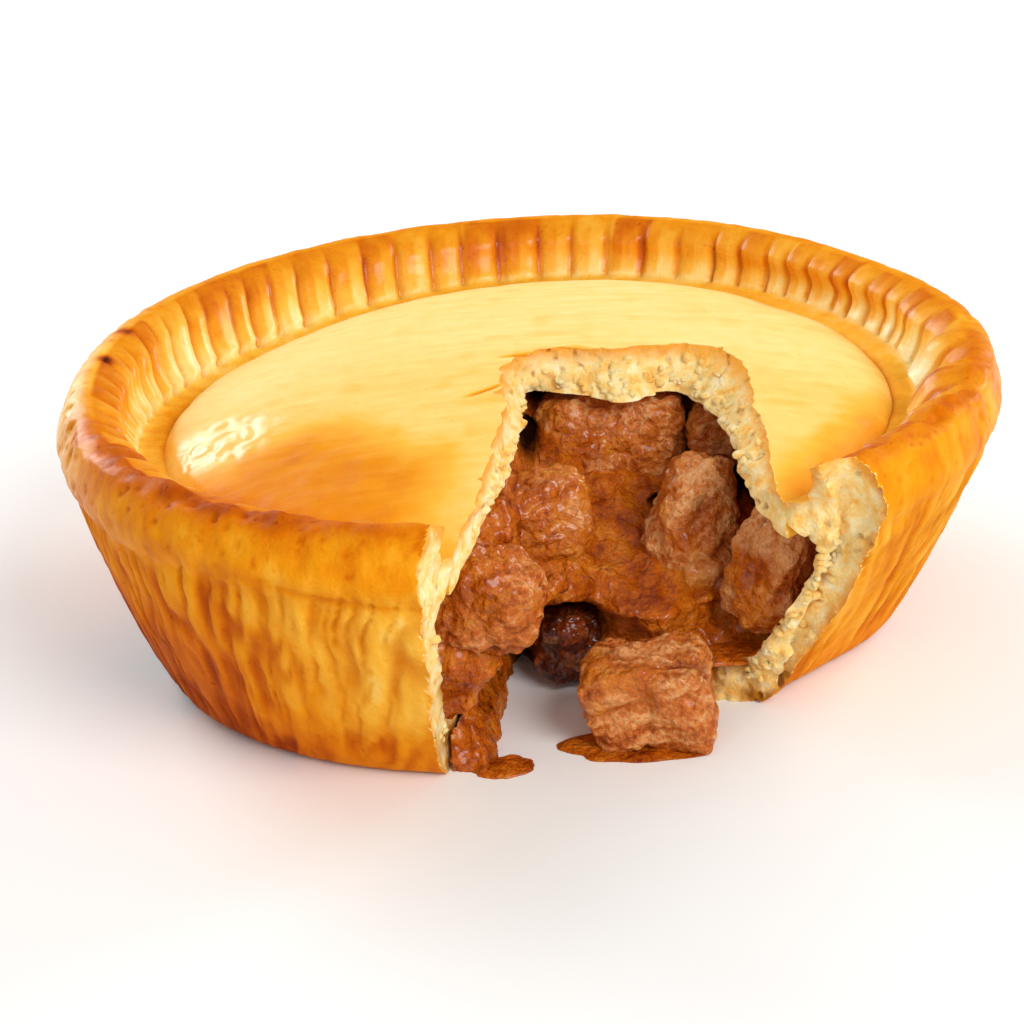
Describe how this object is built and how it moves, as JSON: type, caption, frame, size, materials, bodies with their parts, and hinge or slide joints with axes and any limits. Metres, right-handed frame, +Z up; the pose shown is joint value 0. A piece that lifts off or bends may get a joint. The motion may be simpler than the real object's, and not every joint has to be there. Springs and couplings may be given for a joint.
{
  "type": "steak pie",
  "caption": "Round deep-filled pie with a crimped rim and a piece of crust broken out at the front, so that the beef chunks and gravy show.",
  "frame": {"origin": "middle of the outer box in plan, on the surface that the pie stands on", "axes": "+Z up, the broken-out side faces -Y"},
  "size_m": [0.1358, 0.1346, 0.0435],
  "materials": {
    "crust": "baked golden-brown pastry, glazed on the rim",
    "lid_crust": "pale egg-washed pastry with a soft sheen",
    "beef": "stewed beef, moist",
    "gravy": "thick glossy brown gravy"
  },
  "bodies": {
    "root": {"pastry_case": "crust", "pastry_lid": "lid_crust", "steak_filling": "gravy", "steak_chunk_back": "beef", "steak_chunk_small": "beef", "steak_chunk_oval": "beef", "steak_chunk_right": "beef", "steak_chunk_left": "beef", "steak_chunk_centre": "beef", "steak_chunk_low": "beef", "steak_chunk_spilled": "beef"}
  },
  "joints": []
}
